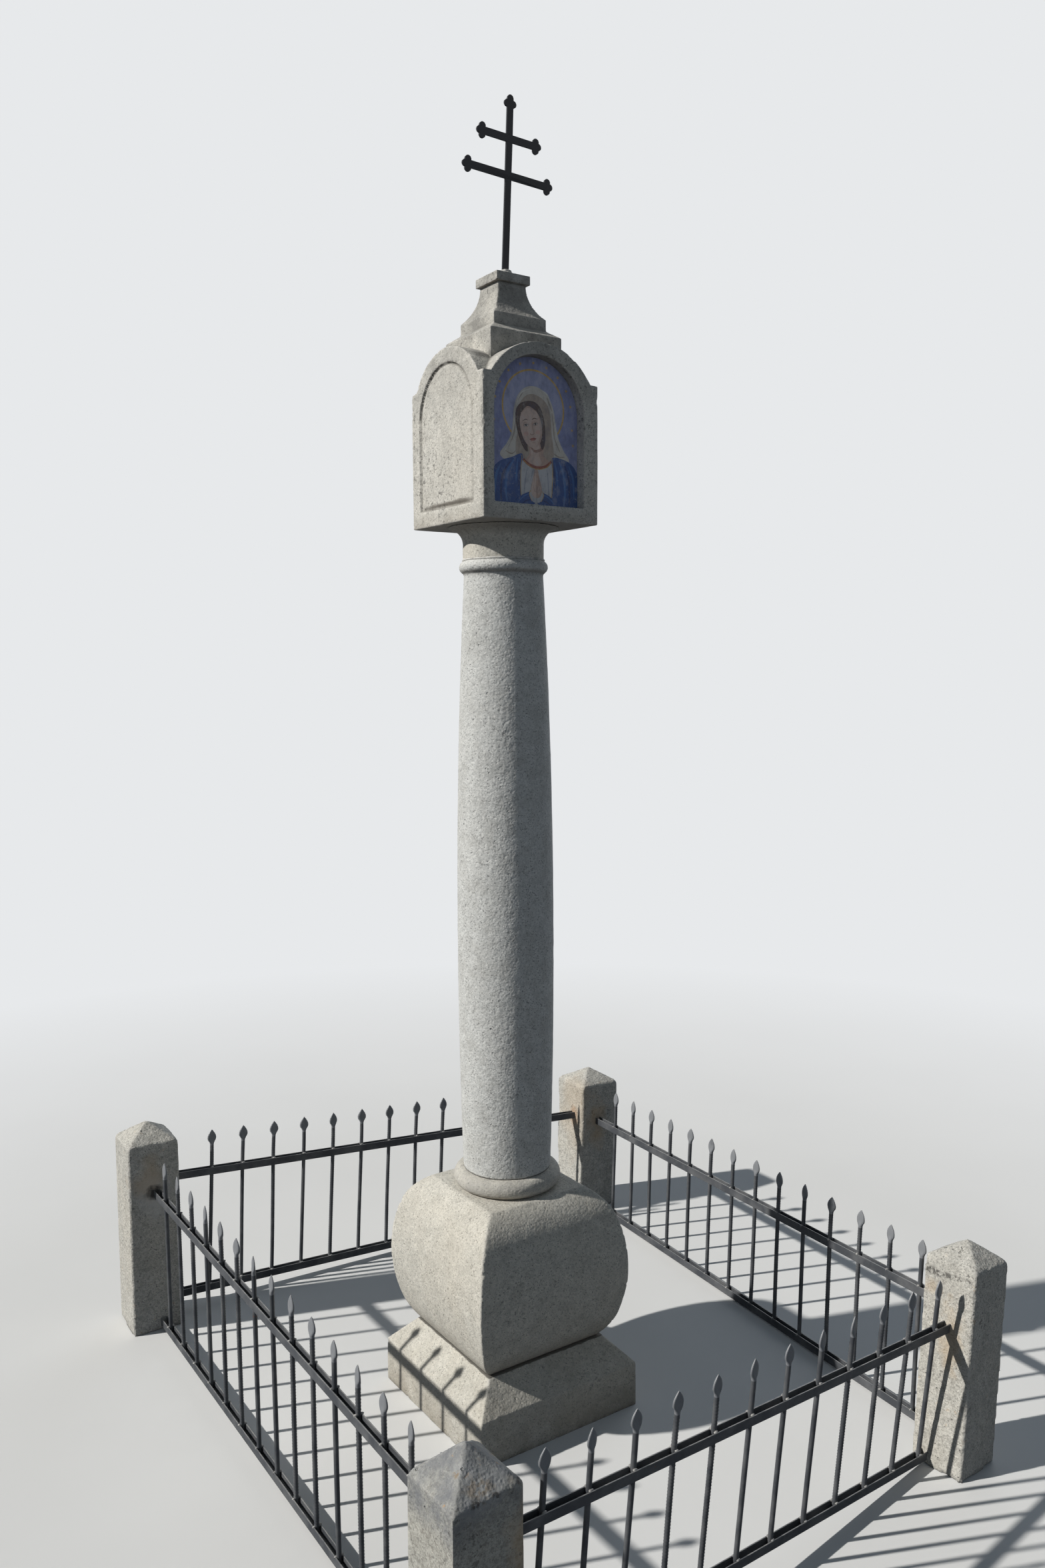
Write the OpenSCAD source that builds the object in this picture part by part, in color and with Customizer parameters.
// Wayside shrine: a granite column with a square lantern head and an iron double cross, standing
// inside four granite posts that carry picket fence panels.
// Millimetres, +Z up. The origin is on the column's axis at ground level. The picture faces -Y.

/* [Plinth] */
// Side of the square plinth
plinth_w = 494; // [440:2:560]
// Height of its upright sides
plinth_side_h = 118; // [90:1:150]
// Height of the bevel above them
plinth_bevel_h = 70; // [40:1:90]
// Side of its flat top
plinth_top_w = 364; // [352:2:400]

/* [Pedestal block] */
// Widest side of the bulging block
block_w = 469; // [440:1:500]
// Height of its widest course above the plinth
block_waist = 200; // [180:1:220]
// Height of the whole block
block_h = 414; // [400:1:440]
// Radius of the long arc at the middle of each side
block_mid_r = 450; // [380:5:600]
// Half the height of that arc
block_mid_h = 128; // [110:1:140]
// Radius of the arc that turns in to the bed
block_foot_r = 175; // [160:5:200]
// Radius of the arc that turns in to the top
block_top_r = 150; // [146:2:180]

/* [Column] */
// Height of the half round moulding at its foot
base_ring_h = 49; // [40:1:56]
// Radius of that moulding
base_ring_r = 144; // [135:1:148]
// Length of the shaft without its ring
shaft_h = 1580; // [1400:10:1700]
// Radius of the shaft where it is thickest
shaft_r = 128; // [118:1:132]
// Height of the thickest place above the shaft's foot
shaft_belly = 620; // [500:10:800]
// Radius of the long arc that the shaft's side follows
shaft_arc_r = 18500; // [16000:100:24000]
// Height of the ring at the shaft's top
ring_h = 34; // [26:1:40]
// Radius of that ring
ring_r = 116; // [110:1:122]
// Radius of the neck above it
neck_r = 105; // [98:1:106]
// Height of the straight neck
neck_h = 41; // [30:1:50]
// Height of the cove that spreads to the lantern
cove_h = 44; // [43:1:50]
// Radius of the cove
cove_r = 42; // [36:1:43]

/* [Lantern] */
// Side of the square lantern
lantern_w = 344; // [320:2:370]
// Height of its corners
lantern_h = 347; // [320:1:370]
// Radius of the round gables
gable_r = 171; // [168:1:171]
// Height of the gables' centre above the bed
gable_rise = 261; // [250:1:270]
// Width of the open niche at the front
niche_w = 270; // [250:2:276]
// Width of a blind niche
blind_w = 260; // [240:2:270]
// Height of the sill above the bed
sill_h = 40; // [30:1:50]
// Height of the niches' arch centre above the bed
niche_rise = 266; // [256:1:268]
// How far each niche sits left of its face's middle, seen from outside
niche_off = 5; // [0:1:6]
// Depth of the open niche at the front
niche_depth = 34; // [24:1:40]
// Depth of the groove round the blind niches
groove_depth = 9; // [6:0.5:12]
// Height of the raised field in a blind niche
field_h = 7; // [4:0.5:8]
// Width of the bevel round that field
field_bevel = 12; // [8:1:16]
// Thickness of the picture plate
plate_t = 4; // [3:0.5:6]

/* [Cap] */
// Side of the square block above the gables
cap_w = 214; // [200:2:220]
// Height of its upright sides above the lantern's corners
cap_side_h = 122; // [110:1:130]
// Height of the small bevel above them
cap_bevel_h = 19; // [12:1:26]
// Side of the upper block
cap_lip_w = 158; // [150:2:166]
// Height of its upright sides
cap_lip_h = 28; // [20:1:34]
// Height of the swept pyramid
sweep_h = 88; // [80:1:96]
// Radius of its hollow sides
sweep_r = 123; // [120:1:140]
// Side of the pyramid's top
sweep_top_w = 84; // [80:1:90]
// Side of the slab on top
slab_w = 100; // [94:1:108]
// Thickness of that slab
slab_t = 22; // [16:1:28]

/* [Cross] */
// Height of the cross above the slab
cross_h = 453; // [400:1:500]
// Width of its bars
cross_bar_w = 18.5; // [16:0.5:24]
// Thickness of its bars
cross_bar_t = 5; // [4:0.5:8]
// Height of the upper arm above the slab
upper_arm_z = 346; // [330:1:360]
// Reach of the upper arm to each side
upper_arm_reach = 96; // [85:1:110]
// Height of the lower arm above the slab
lower_arm_z = 255; // [240:1:270]
// Reach of the lower arm to each side
lower_arm_reach = 134.5; // [120:1:150]
// Radius of each lobe of the trefoil ends
lobe_r = 9; // [8:0.5:12]
// How far the side lobes of an arm's end stand out from its middle line
arm_lobe_out = 11; // [10:0.5:14]
// How far they lie behind the end lobe's centre
arm_lobe_back = 7.5; // [7:0.5:12]
// How far the side lobes at the top stand out
top_lobe_out = 9; // [8:0.5:13]
// How far they lie below the top lobe's centre
top_lobe_back = 13; // [9:0.5:15]
// How far the cross has been set to the right of the middle
cross_off = 7; // [0:0.5:10]
// How far it has bent over to the right, in degrees
cross_lean = 2.4; // [0:0.1:3]
// How far its face is turned, in degrees
cross_turn = -1.5; // [-4:0.5:4]
// Height of the collar of mortar at its foot
footing_h = 20; // [10:1:28]
// Radius of that collar on the slab
footing_r = 20; // [15:1:26]
// Radius of its top
footing_top_r = 15; // [12:1:20]

/* [Fence] */
// Width of a rail, which is a channel open at the top
rail_w = 20; // [19:1:26]
// Height of a rail
rail_h = 23; // [20:1:25]
// Thickness of a rail's web and flanges
rail_t = 3; // [2:0.5:3.5]
// How far a rail runs into a post
let_in = 25; // [10:1:35]
// Thickness of a picket
picket_d = 12; // [10:0.5:13]
// Width of a leaf tip
leaf_w = 26; // [18:1:28]
// Length of a leaf's point above its widest place
leaf_point = 27; // [24:1:34]
// Thickness of a leaf
leaf_t = 4; // [3:0.5:5]

/* [Hidden] */
$fn = 96;
// How far a leaning post is drawn below the ground before it is cut off
post_foot = 20;
granite = "#c7c3b6";
shaft_granite = "#b9bcbc";
post_granite = "#c4bda9";
iron = "#26282b";
plate_blue = "#5a6f9e";
mortar = "#d8d6cf";

// Heights of the beds between the stones
block_z = plinth_side_h + plinth_bevel_h;
ring_z = block_z + block_h;
shaft_z = ring_z + base_ring_h;
neck_z = shaft_z + shaft_h + ring_h;
lantern_z = neck_z + neck_h + cove_h;
cap_z = lantern_z + lantern_h;
slab_z = cap_z + cap_side_h + cap_bevel_h + cap_lip_h + sweep_h;
cross_z = slab_z + slab_t;

// Where the pedestal, the column and the neck stand, a little beside the plinth's middle
COLUMN_AT = [-2.5, 1.5];

// The four posts as they stand: x and y at the foot, side, height to the eaves, height to the
// point, turn, lean to the right
NEAR = [-729, -962, 150, 578, 646, 2.1, 0];
LEFT = [-695, 940, 150, 579, 631, -1.9, 0];
RIGHT = [754, -880, 142, 518, 566, 3.1, 4.2];
FAR = [920, 866, 155, 466, 512, -1.2, 1.2];

// The four panels: first post, second post, how far the line stands to the right of each post's
// middle, top rail's height at each, bottom rail's height at each, number of pickets, first
// picket's distance from the first post, pitch, height of the tips above the top rail, lean to the
// right of the line, lean along the line
FRONT_PANEL = [NEAR, RIGHT, 52, 0, 495, 370, 148, 26, 12, 134, 114, 126, 6.4, -0.7];
LEFT_PANEL = [LEFT, NEAR, -5, -26, 437, 433, 38, 35, 15, 151, 115.7, 110, 1.2, 1.6];
BACK_PANEL = [LEFT, FAR, -24, 23, 446, 358, 60, 25, 13, 203, 101, 119, 1.3, 2.1];
RIGHT_PANEL = [FAR, RIGHT, 5, -13, 342, 381, 25, 30, 14, 190, 108.5, 124, 0, 2.3];
PANELS = [FRONT_PANEL, LEFT_PANEL, BACK_PANEL, RIGHT_PANEL];

// A solid with the same outline from the front and from the side, and so a square plan
module square_plan(reach) {
    intersection() {
        rotate([90, 0, 0]) linear_extrude(2 * reach, center = true) children();
        rotate([90, 0, 90]) linear_extrude(2 * reach, center = true) children();
    }
}

module plinth() {
    side = plinth_w / 2;
    top = plinth_top_w / 2;
    color(granite) square_plan(plinth_w)
        polygon([[-side, 0], [side, 0], [side, plinth_side_h], [top, block_z],
            [-top, block_z], [-side, plinth_side_h]]);
}

// The right half of one course of the pedestal's outline, from height low to high, out to an arc
module half_course(x, z, r, low, high) {
    intersection() {
        translate([x, z]) circle(r, $fn = 360);
        translate([max(x, 0), low]) square([block_w, high - low]);
    }
    translate([0, low]) square([max(x, 1), high - low]);
}

// The side is a long flat arc that turns into a shorter one at the bed and at the top
module pedestal_block() {
    waist = block_z + block_waist;
    mid_x = block_w / 2 - block_mid_r;
    turn = asin(block_mid_h / block_mid_r);
    foot_run = block_mid_r - block_foot_r;
    top_run = block_mid_r - block_top_r;
    color(granite) translate(COLUMN_AT) square_plan(block_w) for (side = [0, 1]) mirror([side, 0]) {
        half_course(mid_x, waist, block_mid_r, waist - block_mid_h, waist + block_mid_h);
        half_course(mid_x + foot_run * cos(turn), waist - foot_run * sin(turn), block_foot_r,
            block_z, waist - block_mid_h);
        half_course(mid_x + top_run * cos(turn), waist + top_run * sin(turn), block_top_r,
            waist + block_mid_h, ring_z);
    }
}

// A half round moulding of height h that stands out to radius r, above height z
module half_round(r, h, z) {
    translate([0, z]) square([r - h / 2, h]);
    translate([r - h / 2, z + h / 2]) circle(h / 2);
}

module base_ring() {
    color(granite) translate(COLUMN_AT) rotate_extrude() half_round(base_ring_r, base_ring_h, ring_z);
}

function shaft_side(h) = shaft_r - (h - shaft_belly) * (h - shaft_belly) / (2 * shaft_arc_r);

module column_shaft() {
    steps = 20;
    side = [for (i = [0:steps]) [shaft_side(shaft_h * i / steps), shaft_z + shaft_h * i / steps]];
    color(shaft_granite) translate(COLUMN_AT) rotate_extrude() {
        polygon(concat([[0, shaft_z]], side, [[0, shaft_z + shaft_h]]));
        half_round(ring_r, ring_h, shaft_z + shaft_h);
    }
}

module neck() {
    cove_z = neck_z + neck_h;
    color(granite) translate(COLUMN_AT) rotate_extrude() {
        translate([0, neck_z]) square([neck_r, neck_h]);
        difference() {
            translate([0, cove_z]) square([neck_r + cove_r, cove_h]);
            translate([neck_r + cove_r, cove_z]) circle(cove_r);
        }
    }
}

// Puts something drawn flat, with X to the right and Y up, on face k of the lantern
module on_face(k) {
    rotate(-90 * k) translate([0, -lantern_w / 2, lantern_z]) rotate([90, 0, 0]) children();
}

module niche_outline(width) {
    translate([-niche_off, 0]) {
        translate([0, niche_rise]) circle(width / 2);
        translate([-width / 2, sill_h]) square([width, niche_rise - sill_h]);
    }
}

// The raised field of a blind niche, with a bevel all round
module raised_field() {
    half = blind_w / 2;
    top = half - field_bevel;
    translate([-niche_off, 0, -groove_depth]) {
        intersection() {
            translate([0, niche_rise, 0]) cylinder(field_h, half, top);
            translate([-half, niche_rise, 0]) cube([blind_w, half, field_h]);
        }
        intersection() {
            translate([0, niche_rise, 0]) rotate([90, 0, 0]) linear_extrude(niche_rise - sill_h)
                polygon([[-half, 0], [half, 0], [top, field_h], [-top, field_h]]);
            translate([-half, 0, 0]) rotate([90, 0, 90]) linear_extrude(blind_w)
                polygon([[sill_h, 0], [niche_rise, 0], [niche_rise, field_h],
                    [sill_h + field_bevel, field_h]]);
        }
    }
}

module gables() {
    intersection() {
        translate([-lantern_w / 2, -lantern_w / 2, cap_z]) cube([lantern_w, lantern_w, gable_r]);
        for (turn = [0, 90])
            translate([0, 0, lantern_z + gable_rise]) rotate([90, 0, turn])
                cylinder(lantern_w, gable_r, gable_r, center = true);
    }
}

module lantern_block() {
    color(granite) {
        difference() {
            union() {
                translate([-lantern_w / 2, -lantern_w / 2, lantern_z])
                    cube([lantern_w, lantern_w, lantern_h]);
                gables();
            }
            translate([-cap_w / 2, -cap_w / 2, cap_z]) cube([cap_w, cap_w, gable_r]);
            on_face(0) translate([0, 0, -niche_depth]) linear_extrude(niche_depth + 1)
                niche_outline(niche_w);
            for (k = [1:3])
                on_face(k) translate([0, 0, -groove_depth]) linear_extrude(groove_depth + 1)
                    niche_outline(blind_w);
        }
        for (k = [1:3]) on_face(k) raised_field();
    }
}

module front_picture() {
    color(plate_blue) on_face(0) translate([0, 0, -niche_depth]) linear_extrude(plate_t)
        niche_outline(niche_w);
}

// The block over the crossing gables, its bevelled shoulder and the hollow-sided pyramid
module cap_stone() {
    side = cap_w / 2;
    lip = cap_lip_w / 2;
    shoulder = cap_z + cap_side_h;
    lip_z = shoulder + cap_bevel_h;
    sweep_z = lip_z + cap_lip_h;
    color(granite) square_plan(cap_w) {
        polygon([[-side, cap_z], [side, cap_z], [side, shoulder], [lip, lip_z], [lip, sweep_z],
            [-lip, sweep_z], [-lip, lip_z], [-side, shoulder]]);
        difference() {
            translate([-lip, sweep_z]) square([cap_lip_w, sweep_h]);
            for (s = [-1, 1])
                translate([s * (sweep_top_w / 2 + sweep_r), slab_z]) circle(sweep_r, $fn = 180);
        }
    }
}

// The cross stands on the slab, turned a little and bent to the right
module at_cross() {
    translate([cross_off, 0, cross_z]) rotate([0, cross_lean, cross_turn]) children();
}

module cap_slab() {
    color(granite) difference() {
        translate([-slab_w / 2, -slab_w / 2, slab_z]) cube([slab_w, slab_w, slab_t]);
        at_cross() upright_bar();
    }
}

// Three lobes round the end of a bar, which points along +Y
module trefoil(out, back) {
    circle(lobe_r);
    for (s = [-1, 1]) translate([s * out, -back]) circle(lobe_r);
    translate([-cross_bar_w / 2, -back - lobe_r]) square([cross_bar_w, back + lobe_r]);
}

module upright_bar() {
    rotate([90, 0, 0]) linear_extrude(cross_bar_t, center = true) {
        translate([-cross_bar_w / 2, -slab_t / 2]) square([cross_bar_w, cross_h - lobe_r + slab_t / 2]);
        translate([0, cross_h - lobe_r]) trefoil(top_lobe_out, top_lobe_back);
    }
}

// One arm across the upright at height z
module arm_bar(z, reach) {
    translate([0, 0, z]) rotate([90, 0, 0]) linear_extrude(cross_bar_t, center = true) {
        square([2 * (reach - lobe_r), cross_bar_w], center = true);
        for (s = [-1, 1])
            translate([s * (reach - lobe_r), 0]) rotate(-90 * s) trefoil(arm_lobe_out, arm_lobe_back);
    }
}

// The half of a bar's thickness that faces +Y or -Y, where two bars are halved into each other
module half_space(s) {
    translate([-cross_h, s > 0 ? 0 : -cross_bar_t, 0]) cube([2 * cross_h, cross_bar_t, cross_h]);
}

module halved_arm(z, reach) {
    color(iron) at_cross() difference() {
        arm_bar(z, reach);
        intersection() {
            upright_bar();
            half_space(1);
        }
    }
}

module cross_upright() {
    color(iron) at_cross() difference() {
        upright_bar();
        intersection() {
            union() {
                arm_bar(upper_arm_z, upper_arm_reach);
                arm_bar(lower_arm_z, lower_arm_reach);
            }
            half_space(-1);
        }
    }
}

module cross_upper_arm() {
    halved_arm(upper_arm_z, upper_arm_reach);
}

module cross_lower_arm() {
    halved_arm(lower_arm_z, lower_arm_reach);
}

// The collar of lead and mortar that the cross is run in with
module cross_footing() {
    color(mortar) difference() {
        translate([cross_off, 0, cross_z]) cylinder(footing_h, footing_r, footing_top_r);
        at_cross() upright_bar();
    }
}

// The way from a panel's first post to its second, on the ground
function way(panel) = [panel[1].x - panel[0].x, panel[1].y - panel[0].y];

// One step to the right of that way
function right_step(panel) = [way(panel).y, -way(panel).x] / norm(way(panel));

// Where the top rail's line passes the first post (k = 0) or the second (k = 1)
function top_end(panel, k) =
    let (post = panel[k], z = panel[4 + k], step = right_step(panel) * panel[2 + k])
    [post.x + z * tan(post[6]) + step.x, post.y + step.y, z];

// The same for the bottom rail, which hangs lower in the leaning plane of the panel
function bottom_end(panel, k) =
    let (top = top_end(panel, k), z = panel[6 + k], step = right_step(panel) * tan(panel[12]) * (top.z - z))
    [top.x - step.x, top.y - step.y, z];

function top_run(panel) = top_end(panel, 1) - top_end(panel, 0);

function run_length(panel) = norm([top_run(panel).x, top_run(panel).y]);

// Height of a rail's top edge at distance x, from its heights at both ends
function rail_at(panel, start, end, x) = start + (end - start) * x / run_length(panel);

// A channel open at the top, along the line from p to q; it ends inside the two posts
module channel(panel, p, q) {
    run = q - p;
    half = rail_w / 2;
    from = panel[0][2] / 2 - let_in;
    until = norm(run) - panel[1][2] / 2 + let_in;
    translate(p) rotate([0, -asin(run.z / norm(run)), atan2(run.y, run.x)])
        rotate([panel[12], 0, 0]) translate([from, 0, 0]) rotate([90, 0, 90])
            linear_extrude(until - from)
                polygon([[-half, 0], [-half, -rail_h], [half, -rail_h], [half, 0],
                    [half - rail_t, 0], [half - rail_t, rail_t - rail_h],
                    [rail_t - half, rail_t - rail_h], [rail_t - half, 0]]);
}

module top_channel(panel) {
    channel(panel, top_end(panel, 0), top_end(panel, 1));
}

module bottom_channel(panel) {
    channel(panel, bottom_end(panel, 0), bottom_end(panel, 1));
}

// A post with its low point, bent over as it stands and cut off level at the ground
module post_body(post) {
    half = post[2] / 2;
    difference() {
        translate([post.x, post.y, 0]) rotate([0, post[6], 0]) rotate(post[5]) square_plan(post[2])
            polygon([[-half, -post_foot], [half, -post_foot], [half, post[3]], [0, post[4]],
                [-half, post[3]]]);
        translate([post.x - post[2], post.y - post[2], -2 * post_foot])
            cube([2 * post[2], 2 * post[2], 2 * post_foot]);
    }
}

// Draws picket i from where it passes the top rail's edge, along its own leaning axis
module at_picket(panel, i) {
    x = panel[9] + panel[10] * i;
    foot = top_end(panel, 0);
    translate([foot.x, foot.y, 0]) rotate(atan2(top_run(panel).y, top_run(panel).x))
        translate([x, 0, rail_at(panel, panel[4], panel[5], x)])
            rotate([panel[12], panel[13], 0]) children();
}

// How far the foot of picket i is below the top rail's edge, half way into the bottom rail's web
function picket_drop(panel, i) =
    let (x = panel[9] + panel[10] * i,
        top = rail_at(panel, panel[4], panel[5], x),
        first_guess = top - rail_at(panel, panel[6], panel[7], x),
        low = rail_at(panel, panel[6], panel[7], x - first_guess * tan(panel[13])))
    (top - low + rail_h - rail_t / 2) / cos(panel[12]) / cos(panel[13]);

// An eight sided bar that stands in the bottom rail and reaches up into its leaf
module picket_bar(panel, i) {
    drop = picket_drop(panel, i);
    top = panel[11] - leaf_point - leaf_w / 4;
    at_picket(panel, i) translate([0, 0, -drop]) cylinder(drop + top, picket_d / 2, picket_d / 2,
        $fn = 8);
}

module leaf(panel, i) {
    half = leaf_w / 2;
    side_r = (half * half + leaf_point * leaf_point) / leaf_w;
    at_picket(panel, i) translate([0, 0, panel[11] - leaf_point]) rotate([90, 0, 0])
        linear_extrude(leaf_t, center = true) {
            circle(half);
            intersection() {
                translate([half - side_r, 0]) circle(side_r);
                translate([side_r - half, 0]) circle(side_r);
                translate([-half, 0]) square([leaf_w, leaf_point + 1]);
            }
        }
}

module picket_bars(panel) {
    for (i = [0:panel[8] - 1]) picket_bar(panel, i);
}

module pickets(panel) {
    color(iron) {
        picket_bars(panel);
        for (i = [0:panel[8] - 1]) leaf(panel, i);
    }
}

// A rail between two posts, let into both, with a hole for each picket
module top_rail(panel) {
    color(iron) difference() {
        top_channel(panel);
        picket_bars(panel);
    }
}

module bottom_rail(panel) {
    color(iron) difference() {
        bottom_channel(panel);
        picket_bars(panel);
    }
}

// A post, cut out where the rails run into it
module post(post) {
    color(post_granite) difference() {
        post_body(post);
        for (panel = PANELS) if (panel[0] == post || panel[1] == post) {
            top_channel(panel);
            bottom_channel(panel);
        }
    }
}

plinth();
pedestal_block();
base_ring();
column_shaft();
neck();
lantern_block();
front_picture();
cap_stone();
cap_slab();
cross_footing();
cross_upright();
cross_upper_arm();
cross_lower_arm();
post(NEAR);  // near_post
post(LEFT);  // left_post
post(RIGHT);  // right_post
post(FAR);  // far_post
top_rail(FRONT_PANEL);  // front_top_rail
bottom_rail(FRONT_PANEL);  // front_bottom_rail
pickets(FRONT_PANEL);  // front_pickets
top_rail(LEFT_PANEL);  // left_top_rail
bottom_rail(LEFT_PANEL);  // left_bottom_rail
pickets(LEFT_PANEL);  // left_pickets
top_rail(BACK_PANEL);  // back_top_rail
bottom_rail(BACK_PANEL);  // back_bottom_rail
pickets(BACK_PANEL);  // back_pickets
top_rail(RIGHT_PANEL);  // right_top_rail
bottom_rail(RIGHT_PANEL);  // right_bottom_rail
pickets(RIGHT_PANEL);  // right_pickets
